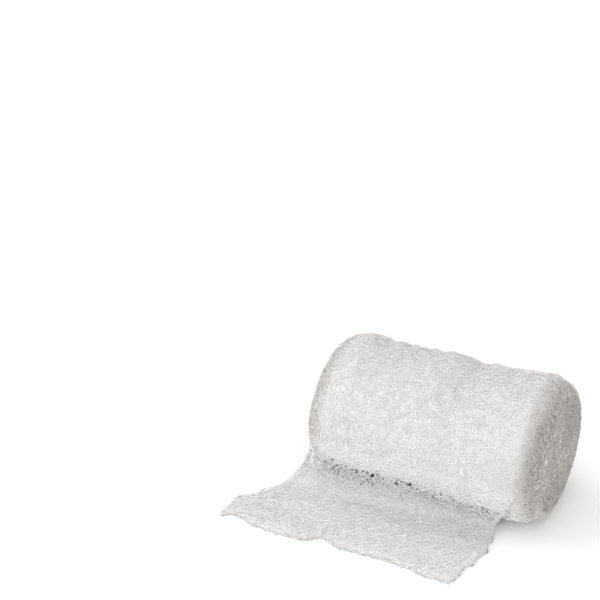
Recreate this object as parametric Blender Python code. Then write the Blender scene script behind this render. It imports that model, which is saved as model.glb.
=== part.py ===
"""A roll of crinkled gauze bandage with its loose end drawn out in front of it.

The roll lies along X on a small flat spot, and the origin is the middle of that spot, +Z up.
The strip leaves the roll at its lower front (-Y), bends out onto the surface and lies there,
drawn a little to the left (-X). Lengths are in metres.

Angles round the roll are in degrees: 0 at the front, 90 underneath, 180 at the back, -90 on top.
"""

import math

import bpy
import numpy as np

MM = 0.001

# The bandage, as bought: a strip of this width, wound up.
STRIP_WIDTH = 86 * MM
TURN_PITCH = 1.8 * MM          # how much further out the last turn lies than the one below it
SHEET_THICKNESS = 1.5 * MM     # six plies of crinkled gauze, lying loose
EDGE_THICKNESS = 0.9 * MM      # the same at the strip's edges
SEAT_GAP = 0.3 * MM            # between the loose end and what it lies against

# The wound roll.
ROLL_DEPTH = 57.6 * MM         # front to back over the outer turn
ROLL_HEIGHT = 51.2 * MM
FLAT_SINK = 0.5 * MM           # how far the roll is pressed in to make its flat spot
LEFT_RIM = 13.8 * MM           # the rim's rounding at each end
RIGHT_RIM = 9.6 * MM
END_DOME = 0.8 * MM            # how far the middle of an end stands out
OUTER_TURN_END = 0.0           # angle at which the outer turn leaves the roll
TURN_STEP_ANGLE = 0.8          # angle over which the step at that line falls

# Radial swelling of the upper side along the roll.
SWELL_ALONG = (
    # (x, swelling)
    (-42 * MM, 3.0 * MM),
    (-33 * MM, 1.2 * MM),
    (-24 * MM, -0.8 * MM),
    (-12 * MM, -1.1 * MM),
    (0 * MM, -0.1 * MM),
    (8 * MM, -1.7 * MM),
    (16 * MM, -0.3 * MM),
    (32 * MM, 1.1 * MM),
    (42 * MM, 0.7 * MM),
)

# Shallow dents and swellings all round, as waves along and round the roll.
SOFT_WAVES = (
    # (height, waves along one strip width, waves round, phase in degrees)
    (0.35 * MM, 1.0, 2, 20),
    (0.25 * MM, 1.6, 3, 140),
    (0.20 * MM, 2.7, 5, 250),
)

# The loose end on the roll: the angles and x of its two edges.
LEAVE_ROLL_LEFT = 14.0         # angle at which the strip comes free of the roll, at its left edge
LEAVE_ROLL_RIGHT = 44.0
START_LEFT = -40.0 * MM        # x of the edges where the outer turn ends
START_RIGHT = 37.0 * MM
LEAVE_LEFT = -41.0 * MM        # x of the edges where the strip comes free
LEAVE_RIGHT = 29.0 * MM

# The loose end off the roll: the bend, and the outline of what lies on the surface.
LANDING = -27.0 * MM           # how far in front it first lies on the surface
UPPER_SLACK = 7.0 * MM         # how long it holds its way down before it turns out
LOWER_SLACK = 8.0 * MM

LEFT_EDGE = (
    # (drawn out to, x)
    (-27 * MM, -51.5 * MM),
    (-34 * MM, -56.0 * MM),
    (-42 * MM, -61.3 * MM),
    (-53 * MM, -62.0 * MM),
)
RIGHT_EDGE = (
    # (drawn out to, x)
    (-27 * MM, 28.6 * MM),
    (-32 * MM, 29.2 * MM),
    (-38 * MM, 28.2 * MM),
    (-45 * MM, 26.0 * MM),
    (-55 * MM, 24.6 * MM),
)
# The uneven cut across the strip's end.
CUT_EDGE = (
    # (share of the width from the left, drawn out to)
    (0.00, -53.0 * MM),
    (0.06, -50.0 * MM),
    (0.16, -53.0 * MM),
    (0.25, -53.8 * MM),
    (0.38, -53.4 * MM),
    (0.43, -49.5 * MM),
    (0.52, -52.2 * MM),
    (0.71, -51.9 * MM),
    (0.82, -52.8 * MM),
    (0.89, -54.3 * MM),
    (0.95, -54.0 * MM),
    (1.00, -54.8 * MM),
)
RIPPLE_HEIGHT = 0.5 * MM       # soft ripples of the part that lies on the surface
RIPPLES_ALONG = 2.5            # how many from the landing to the cut
RIPPLES_ACROSS = 3.0
RIPPLE_SLANT = 0.6             # ripples that they lag from the left edge to the right one
RIPPLE_DRIFT = 0.5             # ripples that they shift sideways on the way out
RIPPLE_START = 0.25            # share of the way out over which they rise
THIN_EDGE_STEPS = 2            # mesh steps over which the strip thins to its edges
STEP_CLEARANCE = 0.85          # degrees between the outer turn's end and the loose end's start

# Steps of the meshes.
ROUND_STEPS = 90
BARREL_STEPS = 20
RIM_STEPS = 7
END_RINGS = 3
STRIP_STEPS = 40
ON_ROLL_STEPS = 6
BRIDGE_STEPS = 12
LAID_STEPS = 13

GAUZE_COLOUR = (0.86, 0.85, 0.84, 1.0)
GAUZE_ROUGHNESS = 0.95


def smooth_through(table, values):
    """Read a two-column table at the values, easing from one row to the next."""
    places, levels = (np.array(column) for column in zip(*table))
    order = np.argsort(places)
    places, levels = places[order], levels[order]
    row = np.clip(np.searchsorted(places, values) - 1, 0, len(places) - 2)
    share = np.clip((values - places[row]) / (places[row + 1] - places[row]), 0, 1)
    eased = share * share * (3 - 2 * share)
    return levels[row] + (levels[row + 1] - levels[row]) * eased


def rim_drop(x):
    """How far the roll's surface has fallen away at x: quarter circles at the two rims."""
    radius = np.where(x < 0, LEFT_RIM, RIGHT_RIM)
    past = np.clip(np.abs(x) - (STRIP_WIDTH / 2 - radius), 0, radius)
    return radius - np.sqrt(radius**2 - past**2)


def roll_surface(x, angle, lift=0.0):
    """y and z of the roll's surface at x and an angle round it, raised by a lift.

    The section is an oval whose radius shrinks by one turn's pitch over a full round, as a wound
    strip does, and swells a little on top and in soft waves.
    """
    turned = ((OUTER_TURN_END - angle) % 360) / 360
    around = np.radians(angle)
    reach = lift - TURN_PITCH * turned - rim_drop(x)
    reach = reach + smooth_through(SWELL_ALONG, x) * (1 - np.sin(around)) / 2
    for height, along, rounds, phase in SOFT_WAVES:
        wave = 2 * math.pi * along * x / STRIP_WIDTH + rounds * around + math.radians(phase)
        reach = reach + height * np.sin(wave) * (1 - np.sin(around)) / 2
    y = -(ROLL_DEPTH / 2 + reach) * np.cos(around)
    z = axis_height() - (ROLL_HEIGHT / 2 + reach) * np.sin(around)
    return y, z


def axis_height():
    """Height of the roll's middle, with the turn underneath pressed flat by FLAT_SINK."""
    turned_underneath = ((OUTER_TURN_END - 90) % 360) / 360
    return ROLL_HEIGHT / 2 - TURN_PITCH * turned_underneath - FLAT_SINK


def roll_stations():
    """x of the rings from the left rim to the right one, closer together on the rounded rims."""
    half = STRIP_WIDTH / 2
    quarter = np.linspace(0, math.pi / 2, RIM_STEPS)
    left = -half + LEFT_RIM * (1 - np.sin(quarter[::-1]))
    right = half - RIGHT_RIM * (1 - np.sin(quarter))
    barrel = np.linspace(-half + LEFT_RIM, half - RIGHT_RIM, BARREL_STEPS + 1)[1:-1]
    return np.concatenate([left, barrel, right])


def roll_rings():
    """Rings of points from the middle of the left end, over the rims and barrel, to the right end."""
    turned = np.linspace(0, 1 - TURN_STEP_ANGLE / 360, ROUND_STEPS)
    angle = OUTER_TURN_END - 360 * turned
    x = np.repeat(roll_stations()[:, None], ROUND_STEPS, axis=1)
    y, z = roll_surface(x, np.broadcast_to(angle, x.shape))
    rings = np.stack([x, y, z], axis=2)
    middle = np.array([0, 0, axis_height()])
    left, right = [], []
    for ring in range(1, END_RINGS + 1):
        inward = 1 - ring / (END_RINGS + 1)
        dome = END_DOME * (1 - inward**2)
        for rim, pile, side in ((rings[0], left, -1), (rings[-1], right, 1)):
            circle = middle + (rim - middle) * inward
            circle[:, 0] = rim[:, 0] + side * dome
            pile.append(circle)
    rings = np.concatenate([np.array(left[::-1]), rings, np.array(right)])
    rings[:, :, 2] = np.maximum(rings[:, :, 2], 0)
    return rings


def build_roll():
    """The wound roll as one closed mesh: rings joined round, and a fan at each end."""
    rings = roll_rings()
    count = len(rings)
    tips = [rings[0].mean(axis=0), rings[-1].mean(axis=0)]
    tips[0][0] = -STRIP_WIDTH / 2 - END_DOME
    tips[1][0] = STRIP_WIDTH / 2 + END_DOME
    points = np.concatenate([rings.reshape(-1, 3), tips])
    left_tip, right_tip = len(points) - 2, len(points) - 1
    faces = []
    for column in range(ROUND_STEPS):
        after = (column + 1) % ROUND_STEPS
        for row in range(count - 1):
            here, beyond = row * ROUND_STEPS, (row + 1) * ROUND_STEPS
            faces.append((here + column, beyond + column, beyond + after, here + after))
        last = (count - 1) * ROUND_STEPS
        faces.append((left_tip, column, after))
        faces.append((right_tip, last + after, last + column))
    add_object("wound_roll", points, faces)


def loose_path(share):
    """Points down the strip's middle layer at one share of its width, 0 at its left edge.

    It lies on the roll, comes free of it, turns out in a soft bend (a cubic curve that starts
    down the roll's side and ends along the surface) and lies on the surface up to the cut.
    """
    half_sheet = SHEET_THICKNESS / 2
    leave = LEAVE_ROLL_LEFT + (LEAVE_ROLL_RIGHT - LEAVE_ROLL_LEFT) * share
    first = OUTER_TURN_END + TURN_STEP_ANGLE + STEP_CLEARANCE
    angle = np.linspace(first, leave, ON_ROLL_STEPS)
    start_x = START_LEFT + (START_RIGHT - START_LEFT) * share
    leave_x = LEAVE_LEFT + (LEAVE_RIGHT - LEAVE_LEFT) * share
    x = np.linspace(start_x, leave_x, ON_ROLL_STEPS)
    y, z = roll_surface(x, angle, lift=SEAT_GAP + half_sheet)
    on_roll = np.stack([x, y, z], axis=1)

    heading = on_roll[-1] - on_roll[-2]
    heading = heading / np.linalg.norm(heading)
    landed = np.array([edge_x(LANDING, share), LANDING, half_sheet])
    further = LANDING - LOWER_SLACK
    next_out = np.array([edge_x(further, share), further, half_sheet])
    bend = (on_roll[-1], on_roll[-1] + UPPER_SLACK * heading, landed + (landed - next_out), landed)
    step = np.linspace(0, 1, BRIDGE_STEPS + 1)[1:, None]
    weights = ((1 - step)**3, 3 * step * (1 - step)**2, 3 * step**2 * (1 - step), step**3)
    bridge = sum(weight * point for weight, point in zip(weights, bend))

    out = np.linspace(0, 1, LAID_STEPS + 1)[1:]
    cut = float(smooth_through(CUT_EDGE, share))
    y = LANDING + (cut - LANDING) * out
    ripple = np.sin(2 * math.pi * (RIPPLES_ALONG * out + RIPPLE_SLANT * share))
    ripple = ripple * np.sin(2 * math.pi * (RIPPLES_ACROSS * share + RIPPLE_DRIFT * out))
    z = half_sheet + RIPPLE_HEIGHT * np.clip(ripple, 0, 1) * np.minimum(1, out / RIPPLE_START)
    laid = np.stack([edge_x(y, share), y, z], axis=1)
    return np.concatenate([on_roll, bridge, laid])


def edge_x(drawn_out, share):
    """x on the surface at one share of the width, between the strip's two edges."""
    left = smooth_through(LEFT_EDGE, drawn_out)
    right = smooth_through(RIGHT_EDGE, drawn_out)
    return left + (right - left) * share


def build_loose_end():
    """The loose end as a closed sheet: its middle layer thickened both ways, thinner at its edges."""
    shares = np.linspace(0, 1, STRIP_STEPS + 1)
    middle = np.array([loose_path(share) for share in shares])
    across = np.gradient(middle, axis=0)
    along = np.gradient(middle, axis=1)
    normal = np.cross(across, along)
    normal /= -np.linalg.norm(normal, axis=2, keepdims=True)
    to_edge = np.minimum(shares, 1 - shares) * STRIP_STEPS
    edge_share = np.clip(to_edge / THIN_EDGE_STEPS, 0, 1)[:, None, None]
    half = (EDGE_THICKNESS + (SHEET_THICKNESS - EDGE_THICKNESS) * edge_share) / 2
    outer = middle + normal * half
    inner = middle - normal * half
    inner[:, :, 2] = np.maximum(inner[:, :, 2], 0)
    lines, stops = middle.shape[:2]
    points = np.concatenate([outer.reshape(-1, 3), inner.reshape(-1, 3)])
    under = lines * stops
    faces = []
    for line in range(lines - 1):
        for stop in range(stops - 1):
            a, b = line * stops + stop, line * stops + stop + 1
            c, d = (line + 1) * stops + stop + 1, (line + 1) * stops + stop
            faces.append((a, b, c, d))
            faces.append((under + a, under + d, under + c, under + b))
    rim = [line * stops for line in range(lines)]
    rim += [(lines - 1) * stops + stop for stop in range(1, stops)]
    rim += [line * stops + stops - 1 for line in range(lines - 2, -1, -1)]
    rim += list(range(stops - 2, 0, -1))
    for here, after in zip(rim, rim[1:] + rim[:1]):
        faces.append((here, after, under + after, under + here))
    add_object("loose_end", points, faces)


def gauze_material(name):
    """Plain bleached cotton."""
    material = bpy.data.materials.new(name)
    material.use_nodes = True
    shader = material.node_tree.nodes["Principled BSDF"]
    shader.inputs["Base Color"].default_value = GAUZE_COLOUR
    shader.inputs["Roughness"].default_value = GAUZE_ROUGHNESS
    shader.inputs["Metallic"].default_value = 0.0
    return material


def add_object(name, points, faces):
    """Put a mesh into the scene under one name, shaded smooth, with its own material."""
    mesh = bpy.data.meshes.new(name)
    mesh.from_pydata([tuple(point) for point in points.tolist()], [], faces)
    mesh.shade_smooth()
    mesh.materials.append(gauze_material(name + "_gauze"))
    thing = bpy.data.objects.new(name, mesh)
    bpy.context.scene.collection.objects.link(thing)


def main():
    for thing in list(bpy.data.objects):
        bpy.data.objects.remove(thing)
    build_roll()
    build_loose_end()


main()
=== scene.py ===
"""The looks of a roll of crinkled gauze bandage with its loose end drawn out in front of it.

The strip's faces, threads and turned edges are surfaces worked out with numpy. A place on the strip
is given by its share of the width, 0 at the left edge and 1 at the right one, and by its distance
along the strip: negative on the roll, 0 at the front where the loose end begins, positive on it.
Angles round the roll are in degrees: 0 at the front (-Y), 90 underneath, -90 on top, -180 behind.
"""
import math

import bpy
import numpy as np
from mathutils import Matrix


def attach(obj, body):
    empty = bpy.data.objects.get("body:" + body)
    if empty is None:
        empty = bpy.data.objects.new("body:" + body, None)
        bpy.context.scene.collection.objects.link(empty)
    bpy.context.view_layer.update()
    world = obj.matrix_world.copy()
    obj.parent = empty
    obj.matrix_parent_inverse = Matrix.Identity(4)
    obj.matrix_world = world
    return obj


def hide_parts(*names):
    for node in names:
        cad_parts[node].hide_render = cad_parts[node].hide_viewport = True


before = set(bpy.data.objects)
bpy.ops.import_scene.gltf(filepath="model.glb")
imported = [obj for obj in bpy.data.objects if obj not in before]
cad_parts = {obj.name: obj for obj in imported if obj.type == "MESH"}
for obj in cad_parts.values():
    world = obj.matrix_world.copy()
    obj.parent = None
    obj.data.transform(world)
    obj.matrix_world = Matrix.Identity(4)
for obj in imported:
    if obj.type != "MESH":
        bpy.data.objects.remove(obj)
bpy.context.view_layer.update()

MM = 0.001

# The camera, from the outline of the roll in the photograph.
CAMERA_PLACE = (0.17403, -0.47814, 0.34256)
CAMERA_AZIMUTH = 25.645        # degrees to the right of the loose end's own direction
CAMERA_ELEVATION = 27.969      # degrees that it looks down
FOCAL_PIXELS = 1710.0
IMAGE_PIXELS = 600.0
SENSOR_MM = 36.0

# The wound form and the loose end, as in the part's source.
STRIP_WIDTH = 86 * MM
TURN_PITCH = 1.8 * MM
SHEET_THICKNESS = 1.5 * MM
ROLL_DEPTH = 57.6 * MM
ROLL_HEIGHT = 51.2 * MM
FLAT_SINK = 0.5 * MM
LEFT_RIM = 13.8 * MM
RIGHT_RIM = 9.6 * MM
END_DOME = 0.8 * MM
TURN_STEP_ANGLE = 0.8           # degrees over which the body steps down to the turn below
UNDERNEATH = 0.75               # of a turn behind the front, where the outer turn is underneath
SWELL_ALONG = (                 # x and how far the roll swells or sinks there
    (-42 * MM, 3.0 * MM), (-33 * MM, 1.2 * MM), (-24 * MM, -0.8 * MM), (-12 * MM, -1.1 * MM),
    (0 * MM, -0.1 * MM), (8 * MM, -1.7 * MM), (16 * MM, -0.3 * MM), (32 * MM, 1.1 * MM),
    (42 * MM, 0.7 * MM))
SWELL_ON_TOP = 2.0              # power that keeps the swell to the upper side
SOFT_WAVES = (                  # (height, waves along the roll, waves round it, phase in degrees)
    (0.35 * MM, 1.0, 2, 20), (0.25 * MM, 1.6, 3, 140), (0.20 * MM, 2.7, 5, 250))
LEAVE_ROLL_LEFT = 14.0          # degrees at which the strip's two edges leave the roll
LEAVE_ROLL_RIGHT = 44.0
LANDING = -27.0 * MM            # y at which the loose end reaches the surface
UPPER_SLACK = 7.0 * MM          # how softly its bend leaves the roll, and how softly it lands
LOWER_SLACK = 8.0 * MM
# Its two edges on the surface as y and x, and its cut as share of the width and y.
LEFT_EDGE = ((-27 * MM, -51.5 * MM), (-34 * MM, -56.0 * MM), (-42 * MM, -61.3 * MM),
             (-53 * MM, -62.0 * MM))
RIGHT_EDGE = ((-27 * MM, 28.6 * MM), (-32 * MM, 29.2 * MM), (-38 * MM, 28.2 * MM),
              (-45 * MM, 26.0 * MM), (-55 * MM, 24.6 * MM))
CUT_EDGE = ((0.00, -53.0 * MM), (0.06, -50.0 * MM), (0.16, -53.0 * MM), (0.25, -53.8 * MM),
            (0.38, -53.4 * MM), (0.43, -49.5 * MM), (0.52, -52.2 * MM), (0.71, -51.9 * MM),
            (0.82, -52.8 * MM), (0.89, -54.3 * MM), (0.95, -54.0 * MM), (1.00, -54.8 * MM))
RIPPLE_HEIGHT = 0.5 * MM        # low ripples, that lean and drift across the laid strip
RIPPLES_ALONG = 2.5
RIPPLES_ACROSS = 3.0
RIPPLE_SLANT = 0.6
RIPPLE_DRIFT = 0.5
RIPPLE_START = 0.25

# Where the outer turn's two edges run: angle, and distance across the strip from its middle.
LEFT_COURSE = ((-60.0, -43.0 * MM), (0.0, -41.6 * MM))
RIGHT_COURSE = ((-30.0, 43.0 * MM), (0.0, 37.1 * MM))
LEAVE_ACROSS_LEFT = -43.4 * MM
LEAVE_ACROSS_RIGHT = 29.0 * MM

# The strip's even grid, from which places on it are read.
SHARE_STEPS = 172
TURN_ANGLE = 405.0             # degrees of the outer turn that show, and a little under its end
TURN_STEPS = 376
LOOSE_STEPS = 110
LOOSE_LENGTH = 55 * MM         # from the front of the roll to the cut
TURN_LENGTH = 188 * MM
TURN_START = -165 * MM         # where the outer turn comes out from under the loose end
COVERED_UNTIL = -140 * MM      # and where it is clear of the loose end for the whole width
FIRST_SHOWN = 1 * MM - TURN_LENGTH    # where the first of the turn below shows at the right
BEYOND_CUT = 0.06              # share of the loose length that the grid runs past the cut
HELD_STEPS = 60                # of the finer rows from which it is read, on the roll and off it
LAID_STEPS = 80                # and on the surface, to this share of the way to the cut
PAST_CUT = 1.15

# Where the strip's right edge crosses the turn below it, the strip lies thinner and closer to it.
EDGE_SINK = 1.4 * MM
EDGE_SINK_WIDTH = 8 * MM
EDGE_SINK_ANGLES = (-70.0, -35.0, 14.0, 28.0)

# Between these shares of the width only the outer turn shows; the turn below it shows outside.
BELOW_LEFT = 0.12
BELOW_RIGHT = 0.78

# How near the surface threads, the body, the turned edges and the loose plies' upper face come.
LOWEST_THREAD = 0.05 * MM
LOWEST_BODY = 0.02 * MM
LOWEST_EDGE = 0.10 * MM
LOWEST_PLY = 0.20 * MM

LEFT, RIGHT = -1, 1             # the roll's two ends
RIMS = {LEFT: LEFT_RIM, RIGHT: RIGHT_RIM}
SHORTEST = 1e-12                # length below which a vector keeps no direction
GRID_END = 0.001                # of a step, by which readings stay inside the strip's grid

rng = np.random.default_rng(86)


def ease(low, high, values):
    """0 below low, 1 above high, and a smooth step between them: 3 squares less 2 cubes."""
    share = np.clip((values - low) / (high - low), 0, 1)
    return share * share * (3 - 2 * share)


def smooth_through(table, values):
    """Read a two-column table at the values, easing from one row to the next."""
    places, levels = (np.array(column) for column in zip(*table))
    order = np.argsort(places)
    places, levels = places[order], levels[order]
    row = np.clip(np.searchsorted(places, values) - 1, 0, len(places) - 2)
    eased = ease(places[row], places[row + 1], values)
    return levels[row] + (levels[row + 1] - levels[row]) * eased


def unit(vectors):
    """Vectors divided by their own lengths."""
    return vectors / np.maximum(np.linalg.norm(vectors, axis=-1, keepdims=True), SHORTEST)


def inside_edges(share):
    """Distance from a share of the width to the nearer of the strip's two edges."""
    return np.minimum(share, 1 - share) * STRIP_WIDTH


def waves(count, shortest, longest, axes):
    """Random wave vectors of lengths between the two, in every direction, with their phases."""
    heading = unit(rng.normal(size=(count, axes)))
    length = rng.uniform(shortest, longest, count)
    return heading * (2 * math.pi / length)[:, None], rng.uniform(0, 2 * math.pi, count)


def unevenness(wave_set, places):
    """The sum of the cosines of every wave at the places, scaled to a spread of 1."""
    total = np.zeros(places.shape[:-1])
    for vector, phase in zip(*wave_set):
        total += np.cos(places @ vector + phase)
    return total * math.sqrt(2 / len(wave_set[1]))


def axis_height():
    """Height of the roll's middle, with the turn underneath pressed flat."""
    return ROLL_HEIGHT / 2 - TURN_PITCH * UNDERNEATH - FLAT_SINK


def over_the_rim(across):
    """Follow the roll's side view from its middle out over a rim and in towards the axis.

    Straight up to the rim, then a quarter circle of the rim's radius, then a slightly domed end.
    Gives x, the inward drop, and how far the surface has turned towards the end, in radians.
    """
    rim = np.where(across < 0, LEFT_RIM, RIGHT_RIM)
    side = np.sign(across)
    past = np.maximum(np.abs(across) - (STRIP_WIDTH / 2 - rim), 0)
    bend = np.minimum(past / rim, math.pi / 2)
    inward = np.maximum(past - rim * math.pi / 2, 0)
    straight = np.minimum(np.abs(across), STRIP_WIDTH / 2 - rim)
    dome = END_DOME * (1 - (1 - np.minimum(inward / (ROLL_HEIGHT / 2 - rim), 1))**2)
    x = side * (straight + rim * np.sin(bend) + dome)
    return x, rim * (1 - np.cos(bend)) + inward, side * bend


def on_roll(across, angle, lift):
    """A point of the wound form: an oval section whose radius grows by one pitch in a full turn.

    It swells on top and in soft waves, as the part's solid does, and the lift raises it.
    """
    x, drop, bend = over_the_rim(across)
    around = np.radians(angle)
    upper = (1 - np.sin(around)) / 2
    reach = lift * np.cos(bend) + TURN_PITCH * angle / 360 - drop
    near_rim = np.cos(bend)
    reach = reach + smooth_through(SWELL_ALONG, x) * upper**SWELL_ON_TOP
    for height, along, rounds, phase in SOFT_WAVES:
        wave = 2 * math.pi * along * x / STRIP_WIDTH + rounds * around + math.radians(phase)
        reach = reach + height * np.sin(wave) * upper * near_rim
    x = x + lift * np.sin(bend)
    y = -(ROLL_DEPTH / 2 + reach) * np.cos(around)
    z = axis_height() - (ROLL_HEIGHT / 2 + reach) * np.sin(around)
    return np.stack(np.broadcast_arrays(x, y, z), axis=-1)


def edge_sink(share, angle):
    """How far the strip sinks towards its right edge where it crosses the turn below.

    The sink eases in over the last stretch of the width, and in and out between four angles.
    """
    first, second, third, last = EDGE_SINK_ANGLES
    inside = (1 - share) * STRIP_WIDTH
    near_edge = 1 - ease(0, EDGE_SINK_WIDTH, inside)
    return EDGE_SINK * near_edge * ease(first, second, angle) * (1 - ease(third, last, angle))


def edge_x(drawn_out, share):
    """x on the surface at one share of the width, between the strip's two edges."""
    left = smooth_through(LEFT_EDGE, drawn_out)
    right = smooth_through(RIGHT_EDGE, drawn_out)
    return left + (right - left) * share


def turn_middle(share):
    """The outer turn's middle layer from under the loose end, round the roll, to its front."""
    angle = np.linspace(-TURN_ANGLE, 0, TURN_STEPS + 1)[None, :]
    left = smooth_through(LEFT_COURSE, angle)
    right = smooth_through(RIGHT_COURSE, angle)
    lift = -SHEET_THICKNESS / 2 - edge_sink(share, angle)
    return on_roll(left + (right - left) * share, angle, lift)


def loose_middle(share):
    """The loose end's middle layer in rows along the strip, and the step at which they are cut.

    It lies on the roll, comes free and turns out in a cubic curve, then lies on the surface in
    low ripples up to the cut and a little past it.
    """
    step = np.linspace(0, 1, HELD_STEPS + 1)[None, :]
    leave = LEAVE_ROLL_LEFT + (LEAVE_ROLL_RIGHT - LEAVE_ROLL_LEFT) * share
    start = LEFT_COURSE[1][1] + (RIGHT_COURSE[1][1] - LEFT_COURSE[1][1]) * share
    leave_across = LEAVE_ACROSS_LEFT + (LEAVE_ACROSS_RIGHT - LEAVE_ACROSS_LEFT) * share
    lift = -SHEET_THICKNESS / 2 - edge_sink(share, leave * step)
    held = on_roll(start + (leave_across - start) * step, leave * step, lift)

    heading = unit(held[:, -1] - held[:, -2])
    low = SHEET_THICKNESS / 2
    width = share[:, 0]
    landed = np.stack([edge_x(LANDING, width), np.full_like(width, LANDING),
                       np.full_like(width, low)], axis=1)
    further = LANDING - LOWER_SLACK
    next_out = np.stack([edge_x(further, width), np.full_like(width, further),
                         np.full_like(width, low)], axis=1)
    bend = (held[:, -1], held[:, -1] + UPPER_SLACK * heading, 2 * landed - next_out, landed)
    step = step[0, 1:, None]
    parts = ((1 - step)**3, 3 * step * (1 - step)**2, 3 * step**2 * (1 - step), step**3)
    bridge = sum(part * point[:, None] for part, point in zip(parts, bend))

    out = np.linspace(0, PAST_CUT, LAID_STEPS + 1)[None, 1:]
    cut = smooth_through(CUT_EDGE, share)
    y = LANDING + (cut - LANDING) * out
    ripple = np.sin(2 * math.pi * (RIPPLES_ALONG * out + RIPPLE_SLANT * share))
    ripple = ripple * np.sin(2 * math.pi * (RIPPLES_ACROSS * share + RIPPLE_DRIFT * out))
    z = low + RIPPLE_HEIGHT * np.clip(ripple, 0, 1) * np.minimum(1, out / RIPPLE_START)
    laid = np.stack([edge_x(y, np.broadcast_to(share, y.shape)), y, z], axis=2)

    at_cut = held.shape[1] + bridge.shape[1] + np.count_nonzero(out <= 1) - 1
    return np.concatenate([held, bridge, laid], axis=1), at_cut


def even_steps(rows, at_cut, shares):
    """Places along each row at shares of its length up to the cut, measured along the row."""
    gaps = np.linalg.norm(np.diff(rows, axis=1), axis=2)
    far = np.concatenate([np.zeros((len(rows), 1)), np.cumsum(gaps, axis=1)], axis=1)
    far = far / far[:, at_cut, None]
    before = (far[:, None, :] <= shares[None, :, None]).sum(axis=2) - 1
    before = np.clip(before, 0, rows.shape[1] - 2)
    start = np.take_along_axis(far, before, axis=1)
    end = np.take_along_axis(far, before + 1, axis=1)
    mix = ((shares[None, :] - start) / (end - start))[..., None]
    first = np.take_along_axis(rows, before[..., None], axis=1)
    second = np.take_along_axis(rows, before[..., None] + 1, axis=1)
    return first + (second - first) * mix


def strip_grid():
    """The whole shown strip as an even grid of its outer face, with normals."""
    share = np.linspace(0, 1, SHARE_STEPS + 1)[:, None]
    loose_shares = np.linspace(0, 1 + BEYOND_CUT, round(LOOSE_STEPS * (1 + BEYOND_CUT)) + 1)
    loose = even_steps(*loose_middle(share), loose_shares)
    middle = np.concatenate([turn_middle(share), loose[:, 1:]], axis=1)
    normal = unit(np.cross(np.gradient(middle, axis=1), np.gradient(middle, axis=0)))
    return np.concatenate([middle + normal * SHEET_THICKNESS / 2, normal], axis=2)


STRIP = strip_grid()


def column_at(along):
    """The strip grid's column, with its fraction, at a distance along the strip."""
    on_turn = TURN_STEPS * (1 + along / TURN_LENGTH)
    on_loose = TURN_STEPS + LOOSE_STEPS * along / LOOSE_LENGTH
    return np.clip(np.where(along < 0, on_turn, on_loose), 0, STRIP.shape[1] - 1 - GRID_END)


def on_strip(share, along):
    """Read the strip grid between its points: face and normal at shares and distances."""
    row = np.minimum(np.clip(share, 0, 1) * SHARE_STEPS, SHARE_STEPS - GRID_END)
    column = column_at(along)
    r, c = row.astype(int), column.astype(int)
    down, over = (row - r)[..., None], (column - c)[..., None]
    near = STRIP[r, c] * (1 - over) + STRIP[r, c + 1] * over
    far = STRIP[r + 1, c] * (1 - over) + STRIP[r + 1, c + 1] * over
    found = near * (1 - down) + far * down
    beyond = ((share - np.clip(share, 0, 1)) * STRIP_WIDTH)[..., None]
    sideways = unit(STRIP[r + 1, c, :3] - STRIP[r, c, :3])
    return found[..., :3] + sideways * beyond, unit(found[..., 3:])


# ---------------------------------------------------------------- meshes

MAP_ROW_FILL = 0.9              # share of a row of the map that a thread or the barrel takes
END_MAP_U = (0.001, 0.999)      # where the closing faces of a thread's two ends lie on the map
END_MAP_V = np.array([0.2, 0.4, 0.6])
NEXT_RING = np.array([0, 1, 1, 0])       # from a quad's first corner to each of its corners
NEXT_CORNER = np.array([0, 0, 1, 1])


def add_thing(name, data):
    """A new object of the data in the scene."""
    thing = bpy.data.objects.new(name, data)
    bpy.context.scene.collection.objects.link(thing)
    return thing


def ring_quads(index):
    """Faces between neighbouring closed rings, whose points' numbers lie along the last axis."""
    a, b = index[..., :-1, :], index[..., 1:, :]
    return np.stack([a, b, np.roll(b, -1, -1), np.roll(a, -1, -1)], axis=-1).reshape(-1, 4)


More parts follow.
